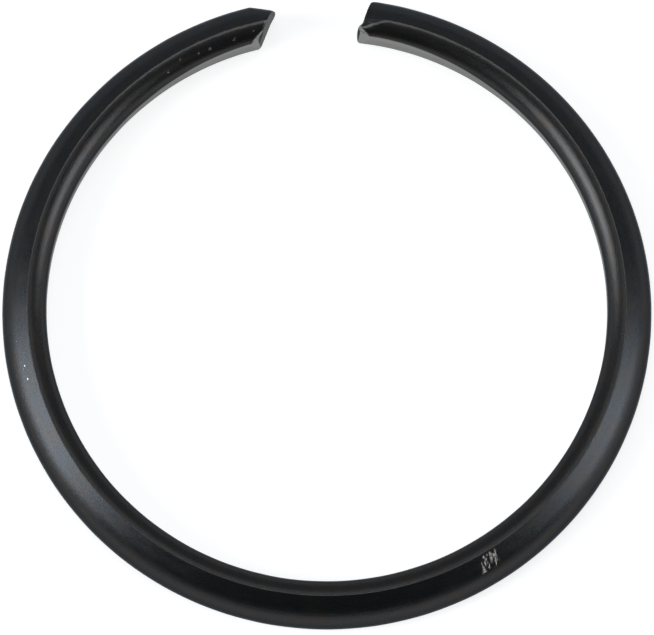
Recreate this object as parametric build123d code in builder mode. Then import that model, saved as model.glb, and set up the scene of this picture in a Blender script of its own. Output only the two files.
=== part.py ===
from build123d import *
from math import cos, pi, radians, sin, tan
import os

# All sizes in millimetres and degrees. The ring's axis is Z, it lies on Z = 0 and its gap is towards +Y.

# Free ring
inner_diameter = 25.9
wire_width = 2.0
wire_height = 2.1

# Wire section: a crest along the top, two sloping shoulders, upright lands at both sides.
# The corners underneath take these shares of the height left below each shoulder.
crest_offset = -0.2
crest_width = 0.08
outer_slope_angle = 31.0
outer_slope_run = 0.42
inner_slope_angle = 8.0
inner_slope_run = 0.06
outer_underside_share = 0.75
inner_underside_share = 0.5

# Left end, seen from above: sheared at a slant, with its outer edge bevelled
left_tip_azimuth = 9.5
left_tip_depth = 0.47
left_bevel_run = 1.3
left_foot_azimuth = 13.4

# Right end: the outer half is cut back, the inner half stands out beyond a small step
right_corner_azimuth = 9.0
right_corner_bevel = 0.22
right_step_azimuth = 7.2
right_step_depth = 1.4
right_bulge_azimuth = 6.4
right_bulge_depth = 1.7
right_foot_azimuth = 6.3

# Flattened patches where the shear pressed on the inner shoulder of each end
right_patch_run = 1.15
right_patch_slant = 20.0
left_patch_run = 0.9
left_patch_slant = 15.0
patch_tilt = 24.0

inner_radius = inner_diameter / 2
outer_radius = inner_radius + wire_width
wire_radius = inner_radius + wire_width / 2
crest_outer = wire_radius + crest_offset + crest_width / 2
crest_inner = wire_radius + crest_offset - crest_width / 2


def ring_point(azimuth, radius):
    """A point at this radius, the azimuth counted from +Y, clockwise from above."""
    return (radius * sin(radians(azimuth)), radius * cos(radians(azimuth)))


def shoulder_radius(run, slope):
    """Radius of the arc that turns a slope into an upright wall within this run."""
    return run / (1 - sin(radians(slope)))


# Where each slope ends, and the arc below it
outer_slope_x = crest_outer + outer_slope_run
outer_slope_z = wire_height - outer_slope_run * tan(radians(outer_slope_angle))
outer_shoulder_radius = shoulder_radius(outer_radius - outer_slope_x, outer_slope_angle)
outer_land_top = outer_slope_z - outer_shoulder_radius * cos(radians(outer_slope_angle))
outer_underside_radius = outer_underside_share * outer_land_top
inner_slope_x = crest_inner - inner_slope_run
inner_slope_z = wire_height - inner_slope_run * tan(radians(inner_slope_angle))
inner_shoulder_radius = shoulder_radius(inner_slope_x - inner_radius, inner_slope_angle)
inner_land_top = inner_slope_z - inner_shoulder_radius * cos(radians(inner_slope_angle))
inner_underside_radius = inner_underside_share * inner_land_top

# The patches touch the inner shoulder where it leans as they do
patch_radius = inner_radius + inner_shoulder_radius * (1 - cos(radians(patch_tilt)))
patch_height = inner_land_top + inner_shoulder_radius * sin(radians(patch_tilt))

left_foot = ring_point(-left_foot_azimuth, inner_radius)
left_tip = ring_point(-left_tip_azimuth, outer_radius - left_tip_depth)
left_bevel_azimuth = left_tip_azimuth + left_bevel_run / outer_radius * 180 / pi
left_bevel = ring_point(-left_bevel_azimuth, outer_radius)
right_foot = ring_point(right_foot_azimuth, inner_radius)
right_bulge = ring_point(right_bulge_azimuth, outer_radius - right_bulge_depth)
right_step = ring_point(right_step_azimuth, outer_radius - right_step_depth)
right_corner_low = ring_point(right_corner_azimuth - 0.3, outer_radius - right_corner_bevel)
right_corner_turn = right_corner_azimuth + right_corner_bevel / outer_radius * 180 / pi
right_corner_high = ring_point(right_corner_turn, outer_radius)


def beyond(start, end, distance):
    """The point this far past end, on the line from start."""
    direction = (Vector(*end) - Vector(*start)).normalized()
    return Vector(*end) + direction * distance


def patch_plane(azimuth, side, slant):
    """A plane that shaves the inner shoulder, deepest at the end of the wire on this side."""
    x, y = ring_point(azimuth, patch_radius)
    inward = Vector(-sin(radians(azimuth)), -cos(radians(azimuth)), 0)
    towards_gap = Vector(-side * cos(radians(azimuth)), side * sin(radians(azimuth)), 0)
    upward = Vector(0, 0, 1)
    across = inward * cos(radians(patch_tilt)) + upward * sin(radians(patch_tilt))
    normal = across * cos(radians(slant)) + towards_gap * sin(radians(slant))
    return Plane(origin=(x, y, patch_height), x_dir=towards_gap, z_dir=normal)


run_to_azimuth = 180 / pi / inner_radius
right_patch = patch_plane(right_foot_azimuth + right_patch_run * run_to_azimuth, 1, right_patch_slant)
left_patch = patch_plane(-left_foot_azimuth - left_patch_run * run_to_azimuth, -1, left_patch_slant)

with BuildPart() as retaining_ring:
    with BuildSketch(Plane.XZ) as wire_section:
        with BuildLine():
            crest = Line((crest_inner, wire_height), (crest_outer, wire_height))
            outer_slope = Line(crest @ 1, (outer_slope_x, outer_slope_z))
            outer_shoulder = JernArc(
                outer_slope @ 1, outer_slope % 1, outer_shoulder_radius, outer_slope_angle - 90
            )
            outer_land = Line(outer_shoulder @ 1, (outer_radius, outer_underside_radius))
            outer_corner = JernArc(outer_land @ 1, (0, -1), outer_underside_radius, -90)
            underside = Line(outer_corner @ 1, (inner_radius + inner_underside_radius, 0))
            inner_corner = JernArc(underside @ 1, (-1, 0), inner_underside_radius, -90)
            inner_land = Line(inner_corner @ 1, (inner_radius, inner_land_top))
            inner_shoulder = JernArc(
                inner_land @ 1, (0, 1), inner_shoulder_radius, inner_slope_angle - 90
            )
            Line(inner_shoulder @ 1, crest @ 0)
        make_face()
    revolve(axis=Axis.Z, revolution_arc=360)

    # The gap, cut straight down between the two sheared ends
    with BuildSketch(Plane.XY.offset(-1)) as gap_outline:
        with BuildLine():
            Polyline(
                beyond(left_tip, left_foot, 2),
                left_foot,
                left_tip,
                left_bevel,
                beyond(left_tip, left_bevel, 1),
                (0, outer_radius + 3),
                beyond(right_corner_low, right_corner_high, 1),
                right_corner_high,
                right_corner_low,
                right_step,
                right_bulge,
                right_foot,
                beyond(right_bulge, right_foot, 2),
                close=True,
            )
        make_face()
    extrude(amount=wire_height + 2, mode=Mode.SUBTRACT)

    with BuildSketch(right_patch):
        Rectangle(4, 4)
    extrude(amount=2, mode=Mode.SUBTRACT)
    with BuildSketch(left_patch):
        Rectangle(4, 4)
    extrude(amount=2, mode=Mode.SUBTRACT)

retaining_ring.part.label = "retaining_ring"
os.makedirs("parts", exist_ok=True)
export_step(retaining_ring.part, "parts/retaining_ring.step")
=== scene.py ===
from math import atan2, cos, degrees, exp, hypot, pi, radians, sin, tan
import bmesh
import bpy
from mathutils import Matrix, Vector, noise


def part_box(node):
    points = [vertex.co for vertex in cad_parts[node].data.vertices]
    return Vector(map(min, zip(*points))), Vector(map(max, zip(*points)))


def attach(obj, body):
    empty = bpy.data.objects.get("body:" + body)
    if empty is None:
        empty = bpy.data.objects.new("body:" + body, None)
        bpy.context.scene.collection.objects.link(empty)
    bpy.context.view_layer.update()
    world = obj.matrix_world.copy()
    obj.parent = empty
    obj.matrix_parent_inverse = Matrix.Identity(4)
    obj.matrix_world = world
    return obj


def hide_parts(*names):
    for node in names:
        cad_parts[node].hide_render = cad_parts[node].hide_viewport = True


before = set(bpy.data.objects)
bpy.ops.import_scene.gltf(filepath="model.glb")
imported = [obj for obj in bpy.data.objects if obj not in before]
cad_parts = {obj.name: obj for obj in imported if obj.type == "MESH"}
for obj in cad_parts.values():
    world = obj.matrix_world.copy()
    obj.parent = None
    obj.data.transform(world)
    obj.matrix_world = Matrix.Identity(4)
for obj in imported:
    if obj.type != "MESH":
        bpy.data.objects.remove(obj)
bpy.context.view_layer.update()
mm = 0.001

# Lengths are millimetres. Azimuths are degrees clockwise from the +Y side, seen from above.
ring = {
    "node": "retaining_ring",
    "wireWidth": 2.06,
    "steps": 860,
    "endCrowding": 0.62,  # how much closer together the stations stand near the two ends
    "arcPoints": 18,
    "landPoints": 5,
    "crestOffset": -0.20,
    "crestHalf": 0.025,
    "outerSlope": 31.0,
    "outerRun": 0.42,
    "innerSlope": 8.0,
    "innerRun": 0.06,
    "outerLandLow": 0.42,
    "innerLandLow": 0.65,
    "startAzimuth": 7.4,
    "endAzimuth": 348.0,
    "skewReach": 7.0,  # over this many degrees the stations turn from square to the slant of the cut
    "waver": 0.012,
}

# Each cut face as (radius, azimuth), from the inside of the ring to the outside
rightFace = ((12.95, 7.0), (13.05, 6.85), (13.15, 6.8), (13.26, 7.0), (13.46, 7.8), (14.75, 8.65), (14.95, 9.85))
leftFace = ((12.95, -13.2), (13.08, -12.6), (13.92, -10.5), (14.95, -8.9))
leftBevel = {"depth": 0.47, "run": 4.4}

# Flats pressed into the inner shoulder at each end
patches = (
    {"azimuth": 9.6, "side": 1, "slant": 26.0, "tilt": 14.0, "inset": 0.03, "height": 1.46},
    {"azimuth": -15.1, "side": -1, "slant": 22.0, "tilt": 14.0, "inset": 0.03, "height": 1.46},
)

patchReach = 2.4

nick = {"azimuth": 149.2, "across": 0.24, "length": 0.95, "width": 0.75, "depth": 0.035}

low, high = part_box(ring["node"])
outerRadius = (high.x - low.x) / 2 / mm
innerRadius = outerRadius - ring["wireWidth"]
wireRadius = outerRadius - ring["wireWidth"] / 2
wireHeight = (high.z - low.z) / mm


def clamp(value, least=0.0, most=1.0):
    return max(least, min(most, value))


def faceAzimuth(face, radius):  # where a cut face stands at this radius
    for (r0, a0), (r1, a1) in zip(face, face[1:]):
        if radius <= r1:
            return a0 + (a1 - a0) * clamp((radius - r0) / (r1 - r0))
    return face[-1][1]


def arc(centreX, centreZ, radius, first, last, count):  # angles from the +X side, anticlockwise
    turns = [radians(first + (last - first) * i / count) for i in range(1, count + 1)]
    return [(centreX + radius * cos(t), centreZ + radius * sin(t)) for t in turns]


def straight(start, end, count):
    return [(start[0] + (end[0] - start[0]) * i / count, start[1] + (end[1] - start[1]) * i / count)
            for i in range(1, count + 1)]


def wireSection():  # (radius, height) round the wire, from the crest outwards and under
    s, h = ring, wireHeight
    crest = wireRadius + s["crestOffset"]
    outX = crest + s["crestHalf"]
    inX = crest - s["crestHalf"]
    lip = 0.012
    points = [(inX, h - lip), (crest, h), (outX, h - lip)]
    bendX = outX + s["outerRun"]
    bendZ = h - lip - s["outerRun"] * tan(radians(s["outerSlope"]))
    points += straight(points[-1], (bendX, bendZ), 4)
    radius = (outerRadius - bendX) / (1 - sin(radians(s["outerSlope"])))
    top = bendZ - radius * cos(radians(s["outerSlope"]))
    points += arc(outerRadius - radius, top, radius, 90 - s["outerSlope"], 0, s["arcPoints"])
    points += straight(points[-1], (outerRadius, s["outerLandLow"]), s["landPoints"])
    r = s["outerLandLow"]
    points += arc(outerRadius - r, r, r, 0, -90, 10)
    r = s["innerLandLow"]
    points += straight(points[-1], (innerRadius + r, 0), 3)
    points += arc(innerRadius + r, r, r, -90, -180, 10)
    bendX = inX - s["innerRun"]
    bendZ = h - lip - s["innerRun"] * tan(radians(s["innerSlope"]))
    radius = (bendX - innerRadius) / (1 - sin(radians(s["innerSlope"])))
    top = bendZ - radius * cos(radians(s["innerSlope"]))
    points += straight(points[-1], (innerRadius, top), s["landPoints"])
    points += arc(innerRadius + radius, top, radius, 180, 90 + s["innerSlope"], s["arcPoints"])
    points += straight(points[-1], (inX, h - lip), 3)[:-1]
    return points


def ringPoint(azimuth, radius, height):
    return Vector((radius * sin(radians(azimuth)), radius * cos(radians(azimuth)), height))


def patchPlane(patch):
    a = radians(patch["azimuth"])
    inward = Vector((-sin(a), -cos(a), 0))
    gapward = Vector((-cos(a), sin(a), 0)) * patch["side"]
    across = inward * cos(radians(patch["tilt"])) + Vector((0, 0, sin(radians(patch["tilt"]))))
    normal = across * cos(radians(patch["slant"])) + gapward * sin(radians(patch["slant"]))
    point = ringPoint(patch["azimuth"], innerRadius + patch["inset"], patch["height"])
    return point, normal.normalized()


def endStation(azimuth):  # stations crowd together towards both ends
    first, last = ring["startAzimuth"], ring["endAzimuth"]
    t = (azimuth - first) / (last - first)
    return first + (last - first) * (t - ring["endCrowding"] * sin(2 * pi * t) / (2 * pi))


def shapePoint(azimuth, radius, height):
    s = ring
    a = endStation(azimuth)
    fromRight = a - s["startAzimuth"]
    fromLeft = s["endAzimuth"] - a
    skewR = (1 - clamp(fromRight / s["skewReach"])) ** 2
    skewL = (1 - clamp(fromLeft / s["skewReach"])) ** 2
    a += skewR * (faceAzimuth(rightFace, radius) - s["startAzimuth"])
    a += skewL * (faceAzimuth(leftFace, radius) + 360 - s["endAzimuth"])

    # The outer edge of the left end is bevelled towards its tip
    tipSide = a - 360 - leftFace[-1][1] + leftBevel["run"]
    outerShare = clamp((radius - wireRadius) / (outerRadius - wireRadius))
    radius -= outerShare * leftBevel["depth"] * clamp(tipSide / leftBevel["run"], 0, 1.3)

    # Drawn wire is never quite even, and the cut edges are slightly rolled over
    swell = s["waver"] * noise.noise(Vector((a * 0.11, height * 0.4, 3.0)))
    side = (radius - wireRadius) / (s["wireWidth"] / 2)
    radius -= abs(swell) * side
    nearest = min(fromRight, fromLeft) * wireRadius * pi / 180
    roll = 0.07 * (1 - clamp(nearest / 0.09)) ** 2
    radius += (wireRadius - radius) * roll
    height += (wireHeight / 2 - height) * roll
    point = ringPoint(a, radius, height)
    pressed = 0
    for plane, normal in patchPlanes:
        beyond = (point - plane).dot(normal)
        if beyond > 0 and (point - plane).length < patchReach:
            point -= normal * beyond
            pressed = clamp(beyond / 0.03)
    # The top rounds over towards the right end
    fall = exp(-(fromRight / 2.2) ** 2)
    if point.z > wireHeight / 2:
        point.z -= 0.16 * fall * (point.z / wireHeight * 2 - 1)
    return point, pressed


def buildRing():
    section = wireSection()
    bm = bmesh.new()
    across = bm.verts.layers.float.new("across")
    pressed = bm.verts.layers.float.new("pressed")
    run = 0
    loop = []
    for i, (radius, height) in enumerate(section):
        if i:
            run += hypot(radius - section[i - 1][0], height - section[i - 1][1])
        vert = bm.verts.new(ringPoint(ring["startAzimuth"], radius, height))
        vert[across] = run
        loop.append(vert)
    girth = run + hypot(section[0][0] - section[-1][0], section[0][1] - section[-1][1])
    edges = [bm.edges.new(pair) for pair in zip(loop, loop[1:] + loop[:1])]
    sweep = ring["endAzimuth"] - ring["startAzimuth"]
    steps = ring["steps"]
    spun = bmesh.ops.spin(bm, geom=loop + edges, cent=(0, 0, 0), axis=(0, 0, -1), dvec=(0, 0, 0),
                          angle=radians(sweep), steps=steps, use_merge=False,
                          use_normal_flip=False, use_duplicate=False)
    lastLoop = [e for e in spun["geom_last"] if isinstance(e, bmesh.types.BMEdge)]

    # Each end is closed by a face, set in rings so that the sheared metal can be uneven
    caps = []
    for edgeLoop in (edges, lastLoop):
        made = bmesh.ops.contextual_create(bm, geom=edgeLoop)
        caps += made["faces"]
    for face in caps:
        face.material_index = 1
    for face in caps:
        centre = face.calc_center_median()
        for share in (0.95, 0.92, 0.88, 0.82, 0.74, 0.6):
            inset = bmesh.ops.inset_region(bm, faces=[face], thickness=0, depth=0)
            bmesh.ops.scale(bm, vec=(share,) * 3, space=Matrix.Translation(-centre), verts=face.verts[:])
            for strip in inset["faces"]:
                strip.material_index = 1
    capVerts = {v for f in bm.faces if f.material_index == 1 for v in f.verts}
    for edge in bm.edges:
        if len({face.material_index for face in edge.link_faces}) == 2:
            edge.smooth = False

    for vert in bm.verts:
        x, y, z = vert.co
        azimuth = degrees(atan2(x, y)) % 360
        point, vert[pressed] = shapePoint(azimuth, hypot(x, y), z)
        if vert in capVerts:
            rough = noise.fractal(point * 5, 0.8, 2.2, 4) * 0.008
            point += Vector((rough, rough * 0.3, 0))
        vert.co = point

    # The nick: a shallow dint in the outer shoulder
    centre = nick["azimuth"]
    for vert in bm.verts:
        x, y, z = vert.co
        side = hypot(x, y) - wireRadius - nick["across"]
        way = radians(degrees(atan2(x, y)) % 360 - centre) * wireRadius
        if abs(way) < nick["length"] and z > wireHeight / 2 and abs(side) < nick["width"]:
            depth = exp(-(way / nick["length"] * 2.6) ** 2 - (side / nick["width"] * 2.2) ** 2)
            uneven = 0.65 + 0.6 * noise.noise(Vector((way * 9, side * 3, 1.7)))
            vert.co.z -= nick["depth"] * depth * uneven

    uv = bm.loops.layers.uv.new("wire")
    for face in bm.faces:
        runs = [loop.vert[across] for loop in face.loops]
        wraps = max(runs) - min(runs) > girth / 2
        ways = [degrees(atan2(loop.vert.co.x, loop.vert.co.y)) % 360 for loop in face.loops]
        for loop, r, way in zip(face.loops, runs, ways):
            over = girth if wraps and r < girth / 2 else 0
            loop[uv].uv = (way * pi / 180 * wireRadius, r + over)
    for vert in bm.verts:
        vert.co *= mm
    bmesh.ops.recalc_face_normals(bm, faces=bm.faces)
    mesh = bpy.data.meshes.new("retainingRing")
    bm.to_mesh(mesh)
    bm.free()
    mesh.polygons.foreach_set("use_smooth", [True] * len(mesh.polygons))
    piece = bpy.data.objects.new("retainingRing", mesh)
    bpy.context.collection.objects.link(piece)
    return piece, girth


crestMiddle = ring["crestHalf"]
patchPlanes = [patchPlane(p) for p in patches]
ringPiece, girth = buildRing()
print("ring: faces", len(ringPiece.data.polygons), "girth", round(girth, 3))

finish = {
    "dark": (0.031, 0.034, 0.038),
    "brown": (0.042, 0.038, 0.035),
    "bare": (0.55, 0.50, 0.46),
    "crest": (0.128, 0.126, 0.120),
    # painted reflection colour of the inner flank, also used for the real pits on the pressed flats
    "reflectionAndPits": (0.27, 0.268, 0.258),
    "edge": (0.42, 0.44, 0.46),
    "roughness": 0.30,
}


class Graph:  # short names for the node calls that every material repeats
    def __init__(self, name):
        self.material = bpy.data.materials.new(name)
        self.material.use_nodes = True
        self.tree = self.material.node_tree
        self.shader = self.tree.nodes["Principled BSDF"]

    def node(self, kind, **settings):
        made = self.tree.nodes.new(kind)
        for key, value in settings.items():
            setattr(made, key, value)
        return made

    def join(self, source, target):
        self.tree.links.new(source, target)

    def math(self, operation, first, second=None, limit=False):
        made = self.node("ShaderNodeMath", operation=operation, use_clamp=limit)
        for socket, value in zip(made.inputs, (first, second)):
            if isinstance(value, (int, float)):
                socket.default_value = value
            elif value is not None:
                self.join(value, socket)
        return made.outputs[0]

    def ramp(self, value, low, high):  # 0 at low, 1 at high, smooth between
        made = self.node("ShaderNodeMapRange", interpolation_type="SMOOTHSTEP")
        self.join(value, made.inputs["Value"])
        made.inputs["From Min"].default_value = low
        made.inputs["From Max"].default_value = high
        return made.outputs["Result"]

    def window(self, value, centre, half):  # 1 around the centre, 0 beyond half on either side
        away = self.math("ABSOLUTE", self.math("SUBTRACT", value, centre))
        return self.math("SUBTRACT", 1.0, self.ramp(away, half * 0.8, half))

    def mix(self, factor, first, second):
        made = self.node("ShaderNodeMix", data_type="RGBA")
        for name, value in (("Factor", factor), ("A", first), ("B", second)):
            socket = [s for s in made.inputs if s.name == name and s.enabled][0]
            if isinstance(value, tuple):
                socket.default_value = (*value, 1)
            elif isinstance(value, (int, float)):
                socket.default_value = value
            else:
                self.join(value, socket)
        return [s for s in made.outputs if s.enabled][0]

    def noise(self, coordinates, stretch, scale, detail=3, roughness=0.55):
        mapping = self.node("ShaderNodeMapping")
        mapping.inputs["Scale"].default_value = stretch
        self.join(coordinates, mapping.inputs["Vector"])
        made = self.node("ShaderNodeTexNoise")
        made.inputs["Scale"].default_value = scale
        made.inputs["Detail"].default_value = detail
        made.inputs["Roughness"].default_value = roughness
        self.join(mapping.outputs[0], made.inputs["Vector"])
        return made.outputs[0]

    def bump(self, height, distance, strength, under=None):
        made = self.node("ShaderNodeBump")
        made.inputs["Distance"].default_value = distance
        made.inputs["Strength"].default_value = strength
        self.join(height, made.inputs["Height"])
        if under is not None:
            self.join(under, made.inputs["Normal"])
        return made.outputs[0]


def wireMaterial():
    g = Graph("blackOxideWire")
    uv = g.node("ShaderNodeUVMap", uv_map="wire").outputs[0]
    parts = g.node("ShaderNodeSeparateXYZ")
    g.join(uv, parts.inputs[0])
    way, run = parts.outputs[0], parts.outputs[1]

    streaks = g.noise(uv, (0.35, 14, 1), 1.0, 4, 0.6)
    fineStreaks = g.noise(uv, (1.6, 60, 1), 1.0, 3, 0.6)
    grain = g.noise(uv, (13, 17, 1), 1.0, 4, 0.75)
    clouds = g.noise(uv, (0.8, 2.4, 1), 1.0, 4, 0.6)

    # How near a place is to the gap: 1 at the ends, 0 at the far side
    fromGap = g.math("PINGPONG", way, pi * wireRadius)
    nearEnds = g.math("SUBTRACT", 1.0, g.ramp(fromGap, 0.15 * wireRadius, 1.6 * wireRadius))

    # The crest is rubbed lighter, with a ragged edge
    signed = g.math("SUBTRACT", run, g.math("MULTIPLY", g.math("GREATER_THAN", run, girth / 2), girth))
    wander = g.math("MULTIPLY", g.math("SUBTRACT", g.noise(uv, (3.2, 2.5, 1), 1.0, 5, 0.75), 0.5), 0.16)
    bend = g.math("MULTIPLY", g.math("SUBTRACT", 1.0, g.ramp(way, 1.5, 3.3)), -0.55)
    crestAt = g.math("ADD", g.math("ADD", wander, bend), crestMiddle)
    fromCrest = g.math("SUBTRACT", signed, crestAt)
    crestWidth = g.math("ADD", g.math("MULTIPLY", nearEnds, 0.040), 0.020)
    crest = g.math("DIVIDE", g.math("ABSOLUTE", fromCrest), crestWidth)
    crest = g.math("SUBTRACT", 1.0, g.ramp(crest, 0.5, 1.5))
    crest = g.math("MULTIPLY", crest, g.math("ADD", g.math("MULTIPLY", nearEnds, 0.6), 0.4))

    # Painted reflection: the inner flank is lighter near the gap, lower and lower away from it, standing in for
    # the pale table reflected there
    inside = g.math("SUBTRACT", girth, run)
    leftSide = g.math("GREATER_THAN", way, pi * wireRadius)
    reflectionBandEdge = g.math("ADD", g.math("MULTIPLY", g.ramp(fromGap, 0.10 * wireRadius, 1.0 * wireRadius), 0.42), 0.88)
    reflectionBandEdge = g.math("ADD", reflectionBandEdge, g.math("MULTIPLY", leftSide, 0.05))
    flankReflectionAndPits = g.ramp(g.math("SUBTRACT", inside, reflectionBandEdge), -0.03, 0.05)
    flankReflectionAndPits = g.math("MULTIPLY", flankReflectionAndPits, g.math("LESS_THAN", inside, girth / 2))
    # The pits on the pressed flats are real marks; they take the same lighter colour as the painted reflection
    pressed = g.node("ShaderNodeAttribute", attribute_name="pressed").outputs["Fac"]
    pits = g.ramp(g.noise(uv, (7, 7, 1), 1.0, 4, 0.75), 0.36, 0.52)
    flankReflectionAndPits = g.math("MAXIMUM", flankReflectionAndPits, g.math("MULTIPLY", pressed, pits), True)

    # The bare metal of the nick
    nickWay = radians(nick["azimuth"]) * wireRadius
    nickRun = 0.53
    lean = -0.28
    leaning = g.math("ADD", way, g.math("MULTIPLY", run, lean))
    a = g.math("DIVIDE", g.math("SUBTRACT", leaning, nickWay + nickRun * lean), nick["length"] * 0.48)
    b = g.math("DIVIDE", g.math("SUBTRACT", run, nickRun), nick["width"] * 0.55)
    reach = g.math("MAXIMUM", g.math("ABSOLUTE", a), g.math("ABSOLUTE", b))
    slanted = g.node("ShaderNodeCombineXYZ")
    g.join(leaning, slanted.inputs[0])
    g.join(run, slanted.inputs[1])
    scratches = g.noise(slanted.outputs[0], (7, 1.7, 1), 1.0, 4, 0.65)
    bare = g.math("MULTIPLY", g.math("SUBTRACT", 1.0, g.ramp(reach, 0.75, 1.05)), g.ramp(scratches, 0.50, 0.57))

    # Tiny chips, most of them where the ends were gripped for the cut
    chips = g.node("ShaderNodeTexVoronoi")
    chips.inputs["Scale"].default_value = 1.0
    chipMap = g.node("ShaderNodeMapping")
    chipMap.inputs["Scale"].default_value = (2.2, 2.6, 1)
    g.join(uv, chipMap.inputs["Vector"])
    g.join(chipMap.outputs[0], chips.inputs["Vector"])
    pinched = g.math("MULTIPLY", g.window(way, radians(336) * wireRadius, 2.9), g.window(inside, 0.42, 0.22))
    struck = g.math("MULTIPLY", g.window(way, radians(257) * wireRadius, 2.6), g.window(run, 0.50, 0.28))
    chipSize = g.math("MULTIPLY", g.math("MAXIMUM", pinched, g.math("MULTIPLY", struck, 0.6)), g.math("MULTIPLY", grain, 0.36))
    chip = g.math("LESS_THAN", chips.outputs["Distance"], chipSize)

    browned = g.math("ADD", g.math("MULTIPLY", g.ramp(clouds, 0.38, 0.68), 0.6), g.math("MULTIPLY", g.ramp(run, 0.8, 1.3), 0.4))
    base = g.mix(browned, finish["dark"], finish["brown"])
    base = g.mix(g.math("MULTIPLY", g.ramp(grain, 0.54, 0.74), 0.5), base, finish["crest"])
    base = g.mix(crest, base, finish["crest"])
    # Painted reflection on the inner flank, together with the real pits of the pressed flats
    base = g.mix(flankReflectionAndPits, base, finish["reflectionAndPits"])
    base = g.mix(g.math("MULTIPLY", chip, 0.5), base, finish["bare"])
    base = g.mix(bare, base, finish["bare"])
    g.join(base, g.shader.inputs["Base Color"])

    rough = g.math("ADD", g.math("MULTIPLY", g.math("SUBTRACT", clouds, 0.5), 0.14), finish["roughness"])
    rough = g.math("ADD", rough, g.math("MULTIPLY", g.math("SUBTRACT", grain, 0.5), 0.16))
    rough = g.math("ADD", rough, g.math("MULTIPLY", crest, 0.12))
    rough = g.math("ADD", rough, g.math("MULTIPLY", flankReflectionAndPits, 0.18))
    g.join(rough, g.shader.inputs["Roughness"])
    g.shader.inputs["Metallic"].default_value = 1
    g.shader.inputs["Specular Tint"].default_value = (*finish["edge"], 1)

    normal = g.bump(streaks, 0.010 * mm, 0.55)
    normal = g.bump(fineStreaks, 0.004 * mm, 0.55, normal)
    normal = g.bump(grain, 0.009 * mm, 0.7, normal)
    normal = g.bump(bare, 0.05 * mm, 0.8, normal)
    g.join(normal, g.shader.inputs["Normal"])
    return g.material


def cutMaterial():
    g = Graph("shearedSteel")
    place = g.node("ShaderNodeTexCoord").outputs["Object"]
    torn = g.noise(place, (1, 1, 0.35), 9000, 5, 0.7)
    blotch = g.noise(place, (1, 1, 1), 1600, 3, 0.6)
    base = g.mix(g.ramp(blotch, 0.4, 0.62), (0.010, 0.009, 0.009), (0.034, 0.030, 0.027))
    g.join(base, g.shader.inputs["Base Color"])
    g.shader.inputs["Roughness"].default_value = 0.42
    g.shader.inputs["Specular IOR Level"].default_value = 0.06
    g.join(g.bump(torn, 0.03 * mm, 0.8), g.shader.inputs["Normal"])
    return g.material


ringPiece.data.materials.append(wireMaterial())
ringPiece.data.materials.append(cutMaterial())
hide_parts(ring["node"])
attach(ringPiece, "root")
print("materials set")

# The table is pale. Camera and mirror rays see it brighter, which makes the background white.
table = {"size": 1.6, "albedo": 0.50, "glow": 0.72}


def buildTable():
    bm = bmesh.new()
    bmesh.ops.create_grid(bm, x_segments=1, y_segments=1, size=table["size"] / 2)
    mesh = bpy.data.meshes.new("table")
    bm.to_mesh(mesh)
    bm.free()
    top = bpy.data.objects.new("table", mesh)
    bpy.context.collection.objects.link(top)
    g = Graph("paleTable")
    rays = g.node("ShaderNodeLightPath")
    seen = g.math("MAXIMUM", rays.outputs["Is Camera Ray"], rays.outputs["Is Glossy Ray"])
    seen = g.math("MAXIMUM", seen, rays.outputs["Is Transmission Ray"])
    g.shader.inputs["Base Color"].default_value = (table["albedo"],) * 3 + (1,)
    g.shader.inputs["Roughness"].default_value = 0.9
    g.shader.inputs["Specular IOR Level"].default_value = 0
    g.shader.inputs["Emission Color"].default_value = (1, 1, 1, 1)
    g.join(g.math("MULTIPLY", seen, table["glow"]), g.shader.inputs["Emission Strength"])
    top.data.materials.append(g.material)
    return top


buildTable()

# Two tall soft boxes stand low at the left and the right, in a room that is dim above
lamps = (
    {"name": "leftBox", "azimuth": 261, "elevation": 25, "distance": 0.42, "size": (0.26, 0.30), "watts": 1.62},
    {"name": "rightBox", "azimuth": 101, "elevation": 24, "distance": 0.42, "size": (0.24, 0.28), "watts": 0.86},
    {"name": "topBox", "azimuth": 0, "elevation": 72, "distance": 0.60, "size": (0.35, 0.25), "watts": 0.45},
)


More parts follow.
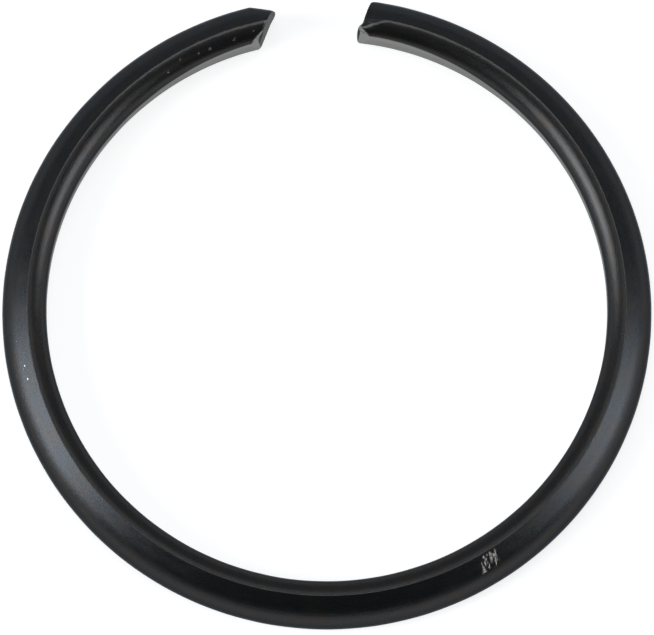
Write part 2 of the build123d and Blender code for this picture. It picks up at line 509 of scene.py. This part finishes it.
def buildLamp(lamp):
    light = bpy.data.lights.new(lamp["name"], "AREA")
    light.shape = "RECTANGLE"
    light.size, light.size_y = lamp["size"]
    light.energy = lamp["watts"]
    light.color = (0.93, 0.97, 1.0)
    holder = bpy.data.objects.new(lamp["name"], light)
    a, e = radians(lamp["azimuth"]), radians(lamp["elevation"])
    way = Vector((sin(a) * cos(e), cos(a) * cos(e), sin(e)))
    holder.location = way * lamp["distance"]
    holder.rotation_euler = way.to_track_quat("Z", "Y").to_euler()
    bpy.context.collection.objects.link(holder)


for lamp in lamps:
    buildLamp(lamp)

world = bpy.data.worlds.new("room")
world.use_nodes = True
bpy.context.scene.world = world
room = world.node_tree.nodes["Background"]
sky = world.node_tree.nodes.new("ShaderNodeTexCoord")
level = world.node_tree.nodes.new("ShaderNodeSeparateXYZ")
fade = world.node_tree.nodes.new("ShaderNodeMapRange")
fade.inputs["From Min"].default_value = -0.8
fade.inputs["From Max"].default_value = 0.8
fade.inputs["To Min"].default_value = 0.12
fade.inputs["To Max"].default_value = 0.42
world.node_tree.links.new(sky.outputs["Generated"], level.inputs[0])
world.node_tree.links.new(level.outputs[1], fade.inputs["Value"])
world.node_tree.links.new(fade.outputs["Result"], room.inputs["Strength"])
room.inputs["Color"].default_value = (0.93, 0.97, 1.0, 1)

camera = {"tilt": 14.12, "turn": -0.17, "distance": 276.7, "lens": 331.6, "aim": (0.0, -0.487, 1.05)}


def buildCamera():
    data = bpy.data.cameras.new("camera")
    data.lens = camera["lens"]
    data.sensor_width = 36
    data.clip_start, data.clip_end = 0.01, 10
    holder = bpy.data.objects.new("camera", data)
    tilt, turn = radians(camera["tilt"]), radians(camera["turn"])
    back = Vector((sin(turn), -sin(tilt) * cos(turn), cos(tilt) * cos(turn)))
    holder.location = (Vector(camera["aim"]) + back * camera["distance"]) * mm
    holder.rotation_euler = back.to_track_quat("Z", "Y").to_euler()
    bpy.context.collection.objects.link(holder)
    bpy.context.scene.camera = holder


buildCamera()
bpy.context.scene.view_settings.view_transform = "Standard"
print("lights and camera set")
